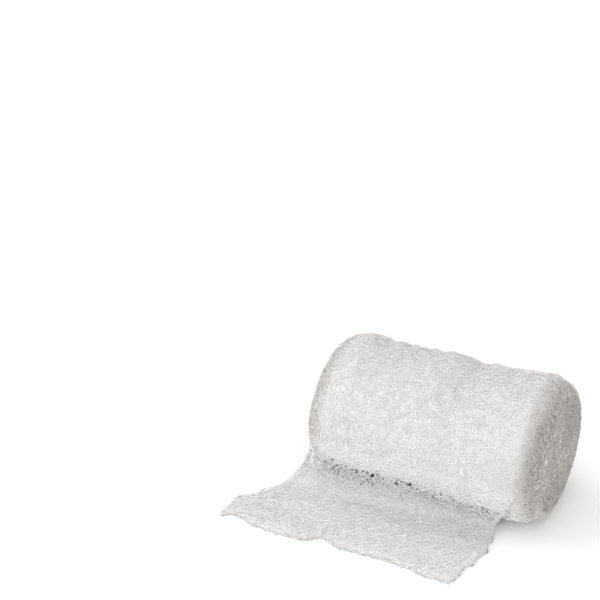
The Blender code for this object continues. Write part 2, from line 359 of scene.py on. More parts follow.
def fill_mesh(name, points, faces, maps, shade_tints=None, flat=None, closed=True):
    """One smooth mesh from arrays, its faces turned outwards, or up where it is an open sheet.

    faces is a list of arrays of 3 or 4 corners a row; maps gives each array's corners their place
    on the piece's own map; tints is each point's painted shade, and flat its place on the flat
    strip.
    """
    facing = 0.0
    for rows in faces:
        a = points[rows[:, 0]]
        for k in range(1, rows.shape[1] - 1):
            b, c = points[rows[:, k]], points[rows[:, k + 1]]
            if closed:
                facing += np.einsum("ij,ij->", a, np.cross(b, c))
            else:
                facing += np.cross(b - a, c - a)[:, 2].sum()
    if facing < 0:
        faces, maps = [[rows[:, ::-1] for rows in group] for group in (faces, maps)]
    mesh = bpy.data.meshes.new(name)
    corners = np.concatenate([rows.ravel() for rows in faces]).astype(np.int32)
    sizes = np.concatenate([np.full(len(rows), rows.shape[1]) for rows in faces])
    starts = np.concatenate([[0], np.cumsum(sizes)[:-1]]).astype(np.int32)
    mesh.vertices.add(len(points))
    mesh.vertices.foreach_set("co", points.astype(np.float32).ravel())
    mesh.loops.add(len(corners))
    mesh.loops.foreach_set("vertex_index", corners)
    mesh.polygons.add(len(starts))
    mesh.polygons.foreach_set("loop_start", starts)
    mesh.update(calc_edges=True)
    layer = mesh.uv_layers.new(name="OFBake")
    placed = np.concatenate([rows.reshape(-1, 2) for rows in maps])
    layer.data.foreach_set("uv", placed.astype(np.float32).ravel())
    if shade_tints is not None:
        layer = mesh.attributes.new("shade_tint", "FLOAT", "POINT")
        layer.data.foreach_set("value", shade_tints.astype(np.float32).ravel())
    if flat is not None:
        layer = mesh.attributes.new("weave", "FLOAT_VECTOR", "POINT")
        layer.data.foreach_set("vector", flat.astype(np.float32).ravel())
    mesh.validate()
    mesh.shade_smooth()
    return add_thing(name, mesh)


def threads_mesh(name, centre, normal, radius, flatness=0.8, shade_tints=None):
    """Threads as three-sided tubes: centre, normal and radius hold (threads, steps) places.

    Each ring is a triangle round the centre, across the thread's own direction, and both ends
    are closed. On the map each thread is a row.
    """
    threads, steps = centre.shape[:2]
    along = unit(np.gradient(centre, axis=1))
    side = unit(np.cross(along, normal))
    up = np.cross(side, along) * flatness
    turn = 2 * math.pi * (1 / 4 + np.arange(3) / 3)
    spokes = (np.cos(turn)[:, None] * side[:, :, None] + np.sin(turn)[:, None] * up[:, :, None])
    rings = centre[:, :, None] + radius[:, :, None, None] * spokes
    index = np.arange(threads * steps * 3).reshape(threads, steps, 3)
    ends = np.concatenate([index[:, 0], index[:, -1, ::-1]])
    thread, step, corner = np.indices((threads, steps - 1, 3))[..., None]
    u = (step + NEXT_RING) / (steps - 1)
    in_row = (corner + NEXT_CORNER) / 3 * MAP_ROW_FILL + (1 - MAP_ROW_FILL) / 2
    quad_maps = np.stack([u, (thread + in_row) / threads], axis=-1).reshape(-1, 4, 2)
    u = np.repeat(END_MAP_U, threads)[:, None]
    v = (np.tile(np.arange(threads), 2)[:, None] + END_MAP_V) / threads
    end_maps = np.stack(np.broadcast_arrays(u, v), axis=-1)
    points = rings.reshape(-1, 3)
    points[:, 2] = np.maximum(points[:, 2], LOWEST_THREAD)
    shade_tints = None if shade_tints is None else np.repeat(shade_tints.reshape(-1), 3)
    return fill_mesh(name, points, [ring_quads(index), ends], [quad_maps, end_maps], shade_tints)


# ---------------------------------------------------------------- the crinkle

BASE_SINK = 0.72 * MM           # of the ply below the threads
THREAD_SINK = 0.15 * MM
THREADS_CRINKLE = 1.15          # share of the crinkle that the threads and the loose plies take
PLIES_CRINKLE = 0.8
LENGTHWISE_PITCH = 0.96 * MM
CROSSWISE_PITCH = 1.04 * MM
THREAD_STEP = 0.45 * MM
THREAD_RADIUS = 0.145 * MM
RADIUS_WANDER = 0.22            # how far radii waver, the thinnest, and the taper at both ends,
THINNEST = 0.5                  # as shares of the radius
END_TAPER = 0.4
OWN_WANDER = 0.10 * MM          # of each thread beside its even place
WANDER_WAVES = 5
WANDER_STEPS = (4, 11)          # shortest and longest of those waves, in steps along the thread
WEAVE_HEIGHT = 0.19 * MM        # of the threads over and under each other
THREAD_ENDS = (-0.004, 0.006)   # how far inside the strip's edges crosswise threads end, in shares

# Each set of waves is drawn once and shared by every piece, so the crinkle runs on across them.
FOLD_WAVES = waves(20, 4.2 * MM, 7.0 * MM, 3)
PUCKER_WAVES = waves(24, 2.0 * MM, 3.2 * MM, 3)
CRISP_WAVES = waves(30, 0.95 * MM, 1.5 * MM, 3)
SHIFT_ACROSS = (waves(16, 4.0 * MM, 7.0 * MM, 2), waves(30, 1.7 * MM, 2.7 * MM, 2))
SHIFT_ALONG = (waves(16, 4.0 * MM, 7.0 * MM, 2), waves(30, 1.7 * MM, 2.7 * MM, 2))
SHIFT_SIZES = (0.30 * MM, 0.26 * MM)
FOLD_HEIGHT = 0.13 * MM
PUCKER_HEIGHT = 0.13 * MM
CRISP_HEIGHT = 0.04 * MM
EDGE_CALM = (-0.5 * MM, 1.6 * MM)    # how near the strip's edges the crinkle's shifts die away

# The loose end lies on the surface from between two distances along the strip on. There it has
# settled below its solid, and sinks further near its cut and its two edges: how near, how far.
LAID = (18 * MM, 28 * MM)
SETTLED = 0.25 * MM
SINK_AT_CUT = (3.0 * MM, 0.35 * MM)
SINK_AT_SIDES = (2.5 * MM, 0.25 * MM)
# how near the cut and the edges the painted shade reaches
EDGE_SHADE_WIDTH = 1.6 * MM

# The largest openings: distance across the strip from its left edge and along it, and half-width,
# in mm; each is longer along the strip. They lie along one line across the front, where the strip
# begins to leave the roll.
LARGE_OPENINGS = (
    (12.2, 8.5, .45), (16.9, 10.6, .56), (19.3, 10.0, .46), (21.0, 7.8, .48), (23.2, 9.0, .56),
    (25.8, 8.4, .68), (30.0, 7.9, .56), (32.7, 9.0, .68), (34.2, 8.4, .42), (33.9, 9.9, .37),
    (35.1, 9.5, .44), (36.1, 10.2, .44), (37.1, 9.5, .42), (42.4, 10.4, .62), (44.2, 8.3, .80),
    (47.2, 8.9, .62), (49.4, 8.3, .48), (48.6, 9.8, .45), (56.2, 14.6, .48), (58.6, 12.7, .56),
    (60.6, 9.8, .62), (64.3, 11.0, .48), (65.8, 11.7, .70), (67.4, 13.0, .51), (69.0, 12.7, .54),
    (71.6, 12.3, .48), (73.3, 12.0, .74), (76.0, 12.3, .59), (77.2, 10.6, .72), (79.4, 12.4, .48),
    (82.2, 11.5, .51), (83.5, 11.5, .48))
OPENING_LENGTH = 1.35           # half-length along the strip, in half-widths
OPENING_LINE = ((0.0, 10.5), (12.0, 8.8), (26.0, 8.6), (45.0, 9.0), (60.0, 10.4), (72.0, 12.0),
                (86.0, 11.6))   # distance along the strip of the line, from its left edge, in mm
OPENINGS_MARGIN = 3 * MM        # how far along the strip before and past them threads are moved
OPENING_TAPER = 1.2             # how softly threads close behind them, in half-lengths
OPENING_SPREAD = 3              # how far beside them they push, in half-widths
OPENING_CORE = 0.02 * MM        # nearest that a place counts as to an opening's middle

# Small openings, in mm: scattered along the same line and past it, smaller the further past.
SMALL_OPENINGS = 150
SMALL_ACROSS = (4, 84)
SMALL_SCATTER = 4.8
SMALL_BEFORE = 1.0
SMALL_WIDTHS = (0.30, 0.50)
SMALLER_PAST = 0.018
# And in the sheer patch at the strip's left: from its edge inwards, and about its middle along.
LEFT_OPENINGS = 80
LEFT_FROM, LEFT_SCATTER = 2.4, 7
LEFT_MIDDLE, LEFT_SPREAD = 11.5, 3.0
LEFT_WIDTHS = (0.40, 0.66)

SHEER_BEYOND = 4.0 * MM         # the sheer band's middle past the line, and its half-width
SHEER_REACH = 6.2 * MM
PATCH_SHARES = (0.07, 0.26)     # of the width between which the sheer patch at the left dies away
PATCH_MIDDLE = 10 * MM          # along the strip, and its half-width
PATCH_REACH = 8 * MM
THINNER_THREADS = 0.3           # by how much the threads are thinner where the strip is sheer


def crinkle(places, crisp=True):
    """Height of the crinkle at points in space: slow folds, puckers, and a fine crispness."""
    height = FOLD_HEIGHT * unevenness(FOLD_WAVES, places)
    height += PUCKER_HEIGHT * unevenness(PUCKER_WAVES, places)
    if crisp:
        height += CRISP_HEIGHT * unevenness(CRISP_WAVES, places)
    return height


def shifted(share, along):
    """Where the crinkle has pushed a place of the flat weave: shares and distances moved."""
    flat = np.stack([share * STRIP_WIDTH, along], axis=-1)
    across = sum(size * unevenness(w, flat) for size, w in zip(SHIFT_SIZES, SHIFT_ACROSS))
    down = sum(size * unevenness(w, flat) for size, w in zip(SHIFT_SIZES, SHIFT_ALONG))
    across = across * ease(*EDGE_CALM, inside_edges(share))
    down = down * ease(*EDGE_CALM, LOOSE_LENGTH - along)
    return share + across / STRIP_WIDTH, along + down


def place_openings():
    """Every opening's place across and along the strip, its half-width and its half-length.

    The large ones are as listed. Small ones are drawn at random about the line and in the patch.
    """
    across = rng.uniform(*SMALL_ACROSS, SMALL_OPENINGS)
    past_line = np.abs(rng.normal(0, SMALL_SCATTER, SMALL_OPENINGS))
    along = smooth_through(OPENING_LINE, across) + past_line - SMALL_BEFORE
    width = rng.uniform(*SMALL_WIDTHS, SMALL_OPENINGS) * (1 - SMALLER_PAST * past_line)
    small = np.stack([across, along, width], axis=1)
    across = LEFT_FROM + np.abs(rng.normal(0, LEFT_SCATTER, LEFT_OPENINGS))
    along = rng.normal(LEFT_MIDDLE, LEFT_SPREAD, LEFT_OPENINGS)
    left = np.stack([across, along, rng.uniform(*LEFT_WIDTHS, LEFT_OPENINGS)], axis=1)
    openings = np.concatenate([np.array(LARGE_OPENINGS), small, left]) * MM
    return np.concatenate([openings, openings[:, 2:] * OPENING_LENGTH], axis=1)


OPENINGS = place_openings()


def near_openings(along):
    """Which distances along the strip lie between the first and the last opening, or near them."""
    runs = OPENINGS[:, 1]
    return (along > runs.min() - OPENINGS_MARGIN) & (along < runs.max() + OPENINGS_MARGIN)


def pushed_aside(place, other, openings):
    """Threads parted by the openings: place is across each thread's run, other along it.

    At distance d beside an opening of half-width h a thread moves to the root of d squared plus
    h squared, and less by a bell curve of its distance before or past the opening.
    """
    sides, runs, halves, half_lengths = openings.T
    beside = place[..., None] - sides
    past = other[..., None] - runs
    bulge = halves**2 * np.exp(-(past / (OPENING_TAPER * half_lengths))**2)
    moved = np.sign(beside) * (np.sqrt(beside**2 + bulge) - np.abs(beside))
    return place + (moved * np.exp(-(beside / (OPENING_SPREAD * halves))**2)).sum(axis=-1)


def parted(across, along, lengthwise):
    """Places of threads on the flat strip once the openings have parted them."""
    near = near_openings(along)
    across, along = across.copy(), along.copy()
    if lengthwise:
        across[near] = pushed_aside(across[near], along[near], OPENINGS)
    else:
        swapped = OPENINGS[:, [1, 0, 3, 2]]
        along[near] = pushed_aside(along[near], across[near], swapped)
    return across, along


def pushed_out(across, along, growth):
    """Places of the flat plies moved out of the openings, and their distance from the nearest.

    With distances along the strip shortened by the openings' length, a place at distance r from
    an opening of half-width h moves to the root of r squared plus h squared.
    """
    moved_across, moved_along = across.copy(), along.copy()
    near = near_openings(along)
    from_across = across[near][:, None] - OPENINGS[None, :, 0]
    from_along = (along[near][:, None] - OPENINGS[None, :, 1]) / OPENING_LENGTH
    half = OPENINGS[None, :, 2] * growth
    far2 = from_across**2 + from_along**2 + OPENING_CORE**2
    push = (np.sqrt(1 + half**2 / far2) - 1) * np.exp(-far2 / (OPENING_SPREAD * half)**2)
    moved_across[near] += (from_across * push).sum(axis=1)
    moved_along[near] += (from_along * push).sum(axis=1) * OPENING_LENGTH
    nearest = np.full(across.shape, 1.0)
    nearest[near] = np.sqrt(far2.min(axis=1))
    return moved_across, moved_along, nearest


def sheerness(share, along):
    """How sheer the plies are: 1 along the line of openings and in the patch at its left, 0 away.

    Each is a bell curve of distance along the strip from its own line; it masks painted shade too.
    """
    line = smooth_through(OPENING_LINE, share * STRIP_WIDTH / MM) * MM + SHEER_BEYOND
    band = np.exp(-((along - line) / SHEER_REACH)**2)
    patch = np.exp(-((along - PATCH_MIDDLE) / PATCH_REACH)**2)
    return np.maximum(band, patch * (1 - ease(*PATCH_SHARES, share)))


def droop(share, along):
    """How far the laid strip settles, and thins down towards its cut and its two edges."""
    (near_cut, sink_at_cut), (near_side, sink_at_side) = SINK_AT_CUT, SINK_AT_SIDES
    to_cut = ease(0, near_cut, LOOSE_LENGTH - along)
    to_side = ease(0, near_side, inside_edges(share))
    sunk = SETTLED + sink_at_cut * (1 - to_cut) + sink_at_side * (1 - to_side) * to_cut
    return ease(*LAID, along) * sunk


def edge_shade(share, along):
    """Painted shade: 1 at the cut and the laid strip's edges, where it thins, falling to 0 inside.
    """
    inside = np.minimum(LOOSE_LENGTH - along, inside_edges(share))
    return ease(*LAID, along) * (1 - ease(0, EDGE_SHADE_WIDTH, inside))


def own_wander(shape):
    """A small wander of each thread's own: waves of random lengths along it."""
    threads, steps = shape
    at = np.arange(steps)[None, :, None]
    length = rng.uniform(*WANDER_STEPS, (threads, 1, WANDER_WAVES))
    phase = rng.uniform(0, 2 * math.pi, (threads, 1, WANDER_WAVES))
    return np.cos(2 * math.pi * at / length + phase).sum(axis=2) / math.sqrt(WANDER_WAVES)


def thread_radii(shape, size=1.0, wander=RADIUS_WANDER):
    """Radii that waver along each thread about a share of the common one, and taper at its ends."""
    radius = size * THREAD_RADIUS * (1 + wander * own_wander(shape))
    radius = np.maximum(radius, THINNEST * THREAD_RADIUS)
    radius[:, [0, -1]] *= END_TAPER
    return radius


def woven_threads(name, share, along, over, lengthwise):
    """Threads along rows of places of the flat weave, laid on the crinkled strip.

    over is 1 where a thread passes over the crossing ones and -1 where it passes under. Each
    place is shifted with the crinkle, wanders a little, is parted by the openings, and is then
    lifted off the strip's face by the crinkle and the weave, less its sink and the strip's droop.
    """
    moved_share, moved_along = shifted(share, along)
    across = moved_share * STRIP_WIDTH + OWN_WANDER * own_wander(share.shape)
    moved_along = moved_along + OWN_WANDER * own_wander(share.shape)
    radius = thread_radii(share.shape)
    radius = radius * np.where(along > 0, 1 - THINNER_THREADS * sheerness(share, along), 1)
    across, moved_along = parted(across, moved_along, lengthwise)
    face, normal = on_strip(across / STRIP_WIDTH, moved_along)
    lift = THREADS_CRINKLE * crinkle(face, crisp=False) + WEAVE_HEIGHT * over
    lift = lift - THREAD_SINK - droop(share, along)
    # the threads take painted shade at the cut and the laid strip's edges
    return threads_mesh(name, face + normal * lift[..., None], normal, radius,
                        shade_tints=edge_shade(share, along))


def lengthwise_threads(name, start, end, ragged_start, ragged_end):
    """Threads that run along the strip between two distances, at even places across it."""
    count = int(STRIP_WIDTH / LENGTHWISE_PITCH) + 1
    steps = int((end - start) / THREAD_STEP) + 1
    place = ((np.arange(count) + 0.5) / count)[:, None]
    first = start + rng.uniform(-1, 1, (count, 1)) * ragged_start
    if start < 0:
        first = np.where((place > BELOW_LEFT) & (place < BELOW_RIGHT), COVERED_UNTIL, first)
        first = np.where(place > BELOW_RIGHT, FIRST_SHOWN, first)
    last = end + rng.uniform(-1, 1, (count, 1)) * ragged_end
    along = first + (last - first) * np.linspace(0, 1, steps)[None, :]
    share = np.repeat(place, steps, axis=1)
    over = np.cos(math.pi * (along / CROSSWISE_PITCH + np.arange(count)[:, None]))
    return woven_threads(name, share, along, over, True)


def crosswise_threads(name, start, end, from_share=0.0, to_share=1.0):
    """Threads that run across the strip, at even distances along it."""
    count = int((end - start) / CROSSWISE_PITCH)
    steps = int((to_share - from_share) * STRIP_WIDTH / THREAD_STEP) + 1
    place = (np.arange(count) + 0.5)[:, None] * CROSSWISE_PITCH + start
    first = from_share + rng.uniform(*THREAD_ENDS, (count, 1))
    last = to_share - rng.uniform(*THREAD_ENDS, (count, 1))
    share = first + (last - first) * np.linspace(0, 1, steps)[None, :]
    along = np.broadcast_to(place, share.shape)
    crossing = share * STRIP_WIDTH / LENGTHWISE_PITCH + np.arange(count)[:, None]
    return woven_threads(name, share, along, -np.cos(math.pi * crossing), False)


# ---------------------------------------------------------------- the roll's body

BODY_COLUMNS = 310
BODY_ROWS = 164
BODY_LAST_BEND = 80.0           # degrees round the rims at which the body's barrel ends
BODY_END_RINGS = 7
BODY_STEP = 1.6 * MM            # by which the body steps down past the outer turn's right edge
STEP_EASE = 0.5 * MM
END_RECESS = 0.26 * MM
HOLLOW_DEPTH = 3.0 * MM         # of the hollow behind the openings, where the turn below hangs back
HOLLOW_ANGLES = (3, 12, 62, 80)      # it deepens between the first two and dies away at the others
HOLLOW_RIGHT = (-6 * MM, -3 * MM)    # it ends at the strip's right edge
HOLLOW_LEFT = (-36 * MM, -30 * MM)   # and begins here from the roll's middle


def body_sink(across, angle):
    """How far the body lies inside the wound form, besides its even sink under the threads.

    It steps down past the outer turn's right edge, and hangs back in a hollow under the front,
    between the strip's right edge and the left part, where the loose end has come free.
    """
    beyond_edge = across - smooth_through(RIGHT_COURSE, angle)
    step_down = BODY_STEP * ease(-EDGE_SINK_WIDTH - STEP_EASE, -STEP_EASE, beyond_edge)
    step_down = step_down * ease(*EDGE_SINK_ANGLES[:2], angle)
    unwound = angle + 360
    hollow = ease(*HOLLOW_ANGLES[:2], unwound) * (1 - ease(*HOLLOW_ANGLES[2:], unwound))
    held = 1 - unwound / LEAVE_ROLL_RIGHT
    edge = LEAVE_ACROSS_RIGHT + (RIGHT_COURSE[1][1] - LEAVE_ACROSS_RIGHT) * held
    hollow = hollow * (1 - ease(*HOLLOW_RIGHT, across - edge)) * ease(*HOLLOW_LEFT, across)
    return step_down + HOLLOW_DEPTH * hollow


def roll_body():
    """The roll's own plies under the threads: rings from end to end, crinkled, with flat ends.

    The barrel and rims follow the wound form, sunk a little; the ends lie back behind the edges
    of the turns. The first and last columns meet in the step of the outer turn's start.
    """
    reach_left = STRIP_WIDTH / 2 - LEFT_RIM + LEFT_RIM * math.radians(BODY_LAST_BEND)
    reach_right = STRIP_WIDTH / 2 - RIGHT_RIM + RIGHT_RIM * math.radians(BODY_LAST_BEND)
    across = np.linspace(-reach_left, reach_right, BODY_ROWS)[:, None]
    angle = np.linspace(0, TURN_STEP_ANGLE - 360, BODY_COLUMNS)[None, :]
    sink = body_sink(across, angle)
    smooth = on_roll(across, angle, -sink)
    out = unit(on_roll(across, angle, 1 * MM - sink) - smooth)
    rings = smooth + out * (crinkle(smooth) - BASE_SINK)[..., None]
    inward = np.arange(1, BODY_END_RINGS + 1)[:, None, None] / (BODY_END_RINGS + 1)
    ends, tips = [], []
    for rim, side in ((rings[0], LEFT), (rings[-1], RIGHT)):
        tips.append([rim[:, 0].mean() - side * END_RECESS, 0, axis_height()])
        ends.append(rim + (tips[-1] - rim) * inward)
    grid = np.concatenate([ends[0][::-1], rings, ends[1]])
    grid[..., 2] = np.maximum(grid[..., 2], LOWEST_BODY)
    rows = len(grid)
    index = np.arange(rows * BODY_COLUMNS).reshape(rows, BODY_COLUMNS)
    left_tip, right_tip = np.full((2, BODY_COLUMNS), rows * BODY_COLUMNS) + [[0], [1]]
    fans = np.concatenate([
        np.stack([left_tip, index[0], np.roll(index[0], -1)], axis=1),
        np.stack([right_tip, np.roll(index[-1], -1), index[-1]], axis=1)])
    margin = (1 - MAP_ROW_FILL) / 2
    ring, corner = np.indices((rows - 1, BODY_COLUMNS))[..., None]
    u = (corner + NEXT_CORNER) / BODY_COLUMNS
    v = (ring + NEXT_RING) / (rows - 1) * MAP_ROW_FILL + margin
    quad_maps = np.stack([u, v], axis=-1).reshape(-1, 4, 2)
    u = (np.arange(BODY_COLUMNS)[:, None] + np.array([[[0.5, 0, 1]], [[0.5, 1, 0]]])) / BODY_COLUMNS
    v = np.array([[[0, margin, margin]], [[1, 1 - margin, 1 - margin]]])
    fan_maps = np.stack(np.broadcast_arrays(u, v), axis=-1).reshape(-1, 3, 2)
    points = np.concatenate([grid.reshape(-1, 3), tips])
    flat = np.zeros(grid.shape)
    flat[..., 0] = (np.arange(rows) * (reach_left + reach_right) / BODY_ROWS)[:, None]
    flat[..., 1] = angle * TURN_LENGTH / TURN_ANGLE
    flat = np.concatenate([flat.reshape(-1, 3), np.zeros((2, 3))])
    return fill_mesh("roll_body", points, [ring_quads(index), fans], [quad_maps, fan_maps],
                     np.zeros(len(points)), flat)


# ---------------------------------------------------------------- the turned edges at the two ends

EDGE_FIRST_BENDS = {LEFT: 52.0, RIGHT: 65.0}    # degrees round each rim at which they begin
EDGE_STEP = 0.42 * MM
EDGE_PITCH = 1.25 * MM
EDGE_STARTS = {LEFT: 0.0, RIGHT: 0.11}    # turns behind the front, where they come onto the rim
EDGE_OUTSET = 0.4 * MM          # of the first edge out of its rim
EDGE_CORE = 0.9 * MM            # from the middle at which the spiral ends
COURSE_SAMPLES = 6000
TURN_EDGE_PROFILE = (           # (place across the turn's thickness, height, share of the waver)
    (-0.46, -2.6 * MM, 0.0), (-0.44, -0.45 * MM, 0.7), (-0.26, -0.02 * MM, 1.0),
    (-0.02, -0.40 * MM, 0.8), (0.20, 0.05 * MM, 1.0), (0.40, -0.40 * MM, 0.7),
    (0.44, -2.6 * MM, 0.0))
EDGE_THICKNESS = (0.96, 0.10)   # of the wall as a share of the pitch, and how far it wavers
# Its waves as count, shortest and longest: slow ones aside and up, then quick ones up and aside.
EDGE_SLOW_WAVES = ((14, 9 * MM, 30 * MM), (14, 6 * MM, 18 * MM))
EDGE_QUICK_WAVES = ((24, 1.3 * MM, 3.4 * MM), (24, 1.5 * MM, 3.6 * MM))
ENDS_APART = 40 * MM            # of the two ends, and of the profile's corners, in those waves
CORNERS_APART = 3.1 * MM
EDGE_WAVERS = (0.12 * MM, 0.14 * MM, 0.16 * MM, 0.13 * MM)    # in: slow, quick; out: slow, quick
EDGE_SINK_ALL = 0.1 * MM
EDGE_FADE_STEPS = 12            # over which the wall thins and sinks at the spiral's two tips
EDGE_FADE_SINK = 1.5 * MM
OUTERMOST_TURNS = (0.7, 1.3)    # from the start, over which the painted shade of the outermost edge fades
FIRST_EDGE_SINK = 0.35 * MM     # of the outermost edge, which eases out over the first turns
FIRST_EDGE_TURNS = 1.6
EDGE_MAP_ROW = 150              # steps of the spiral in each row of its map
EDGE_MAP_FILL = 0.92            # share of a row that they take
EDGE_MAP_TIP = 0.001            # size of the two closing faces on the map
END_SWELL_FADE = 12 * MM        # inwards from the rim, over which the roll's swell dies away
END_MIDDLE = 0.3 * MM           # how near the middle a place on the end may come

LOOPS = 1.25 * MM               # length of the looped threads' loops along the turned edges
LOOP_WAVES = ((12, 3 * MM, 9 * MM), (12, 2 * MM, 5 * MM), (12, 4 * MM, 14 * MM))
LOOP_DRIFT = 1.3                # radians by which the first of those waves moves the loops
LOOP_ASIDE = (0.30 * MM, 0.20 * MM)     # size of the loops, and of the other two waves, aside
LOOP_UP = (0.20 * MM, 0.16 * MM)        # and up
LOOP_TILT = 0.7
LOOP_STEPS = 1.35               # their steps to each step of the edge
LOOP_THREAD = 160               # steps in each thread
LOOP_INSET = -0.22              # of their line across the turn's thickness
LOOP_RADIUS = 0.85              # of the common radius, and how far it wavers
LOOP_RADIUS_WANDER = 0.2


def turn_edge_course(side):
    """The spiral of the turns' edges on one end: its first drop, its turn at each step, its length.

    From the outer turn's edge on the rim it runs inward by one pitch a turn, until the oval has
    closed up. Steps are even in distance, taken round a circle of the oval's mean radius.
    """
    first_drop = RIMS[side] * (1 - math.cos(math.radians(EDGE_FIRST_BENDS[side]))) - EDGE_OUTSET
    turns = (ROLL_HEIGHT / 2 - first_drop - EDGE_CORE) / EDGE_PITCH
    fine = np.linspace(EDGE_STARTS[side], turns, COURSE_SAMPLES)
    radius = (ROLL_DEPTH + ROLL_HEIGHT) / 4 - first_drop - EDGE_PITCH * fine
    far = np.concatenate([[0], np.cumsum(2 * math.pi * radius[1:] * np.diff(fine))])
    steps = int(far[-1] / EDGE_STEP)
    turned = np.interp(np.linspace(0, far[-1], steps), far, fine)
    return first_drop, turned, far[-1]


def end_face(side, drop):
    """x of the roll's end at an inward drop from its outer surface, and how far it has turned.

    The rim is a quarter circle, on which the drop is the radius less the cosine's part of it.
    """
    rim = RIMS[side]
    within = np.clip(drop / rim, 0, 1)
    bend = np.arccos(1 - within)
    inward = np.maximum(drop - rim, 0) / (ROLL_HEIGHT / 2 - rim)
    dome = END_DOME * (1 - (1 - np.clip(inward, 0, 1))**2)
    return side * (STRIP_WIDTH / 2 - rim + rim * np.sin(bend) + dome), bend


def on_end(side, drop, angle, rise):
    """A point on the roll's end at an inward drop and an angle, raised out of it by rise.

    It lies on an oval that is smaller by the drop and swells on top as the roll does.
    """
    x, bend = end_face(side, drop)
    around = np.radians(angle)
    upper = (1 - np.sin(around)) / 2
    swell = smooth_through(SWELL_ALONG, x) * upper**SWELL_ON_TOP
    swell = swell * np.clip(1 - drop / END_SWELL_FADE, 0, 1)
    reach = swell - drop + np.cos(bend) * rise
    y = -np.maximum(ROLL_DEPTH / 2 + reach, END_MIDDLE) * np.cos(around)
    z = axis_height() - np.maximum(ROLL_HEIGHT / 2 + reach, END_MIDDLE) * np.sin(around)
    return np.stack([x + side * rise * np.maximum(np.sin(bend), 0.5), y, z], axis=-1)


def outward(side, drop, angle, rise):
    """A place on the roll's end, and the direction straight out of the end there."""
    centre = on_end(side, drop, angle, rise)
    return centre, unit(on_end(side, drop, angle, rise + 1 * MM) - centre)


def outermost(turned):
    """1 on a turned edge's first turn, falling to 0 in the second: where its painted shade lies."""
    return 1 - ease(*OUTERMOST_TURNS, turned)


def turn_edges(name, side):
    """The wound strip's edge on one end: a wall of two soft folds swept along the spiral.

    The profile is carried inward turn by turn; its place and its two crests waver.
    """
    first_drop, turned, length = turn_edge_course(side)
    steps = len(turned)
    turned = turned[:, None]
    distance = np.linspace(0, length, steps)[:, None]
    across, height, free = np.array(TURN_EDGE_PROFILE).T[:, None]
    count = across.size
    line = np.concatenate([distance, np.full_like(distance, side * ENDS_APART)], axis=1)
    slow, slow_high = (unevenness(waves(*sizes, 2), line)[:, None] for sizes in EDGE_SLOW_WAVES)
    corner = np.arange(count)[None, :] * CORNERS_APART
    spread = np.stack(np.broadcast_arrays(distance, corner), axis=-1)
    quick_high, quick = (unevenness(waves(*sizes, 2), spread) for sizes in EDGE_QUICK_WAVES)
    from_tip = np.minimum(np.arange(steps), np.arange(steps)[::-1])[:, None]
    fade = np.minimum(1, from_tip / EDGE_FADE_STEPS)
    in_slow, in_quick, out_slow, out_quick = EDGE_WAVERS
    thick = EDGE_PITCH * (EDGE_THICKNESS[0] + EDGE_THICKNESS[1] * slow) * fade
    inward = first_drop + EDGE_PITCH * (turned + 0.5) - across * thick
    inward = inward + in_slow * slow + in_quick * quick * free
    rise = height + free * (out_slow * slow_high + out_quick * quick_high) - EDGE_SINK_ALL
    rise = rise - (1 - fade) * EDGE_FADE_SINK
    rise = rise - FIRST_EDGE_SINK * (1 - ease(0, FIRST_EDGE_TURNS, turned))
    points = on_end(side, inward, -360 * turned, rise)
    points[..., 2] = np.maximum(points[..., 2], LOWEST_EDGE)
    index = np.arange(steps * count).reshape(steps, count)
    step, corner = np.indices((steps - 1, count))[..., None]
    row = step // EDGE_MAP_ROW
    bands = math.ceil((steps - 1) / EDGE_MAP_ROW)
    u = (step + NEXT_RING - row * EDGE_MAP_ROW) / EDGE_MAP_ROW
    in_row = (1 - EDGE_MAP_FILL) / 2 + EDGE_MAP_FILL * (corner + NEXT_CORNER) / count
    v = (row + in_row) / bands
    quad_maps = np.stack([u, v], axis=-1).reshape(-1, 4, 2)
    end_map = np.zeros((1, count, 2)) + EDGE_MAP_TIP * np.arange(count)[None, :, None]
    # the tint greys the outermost edge with painted shade
    return fill_mesh(name, points.reshape(-1, 3), [ring_quads(index), index[:1], index[-1:, ::-1]],
                     [quad_maps, end_map, end_map], np.repeat(outermost(turned), count))


def edge_threads(name, side):
    """Looped threads along the turns' edges, where the crosswise threads turn back.

    Each runs a wavering circle about its line: a sine aside and a cosine up, plus random waves.
    """
    first_drop, turned, length = turn_edge_course(side)
    steps = int(len(turned) * LOOP_STEPS)
    fine = np.interp(np.linspace(0, 1, steps), np.linspace(0, 1, len(turned)), turned)
    distance = np.linspace(0, length, steps)[:, None]
    drift, aside, up = (unevenness(waves(*sizes, 1), distance) for sizes in LOOP_WAVES)
    loop = 2 * math.pi * distance[:, 0] / LOOPS + LOOP_DRIFT * drift
    wide = LOOP_ASIDE[0] * np.sin(loop) + LOOP_ASIDE[1] * aside
    high = LOOP_UP[0] * np.cos(loop + LOOP_TILT) + LOOP_UP[1] * up + CURL_RISE
    drop = first_drop + EDGE_PITCH * (fine + 0.5 + LOOP_INSET) + wide
    usable = steps // LOOP_THREAD * LOOP_THREAD
    fine, drop, high = (row[:usable].reshape(-1, LOOP_THREAD) for row in (fine, drop, high))
    centre, normal = outward(side, drop, -360 * fine, high)
    radius = thread_radii(fine.shape, LOOP_RADIUS, LOOP_RADIUS_WANDER)
    # its loops on the outermost edge take the same painted shade
    return threads_mesh(name, centre, normal, radius, shade_tints=outermost(fine))


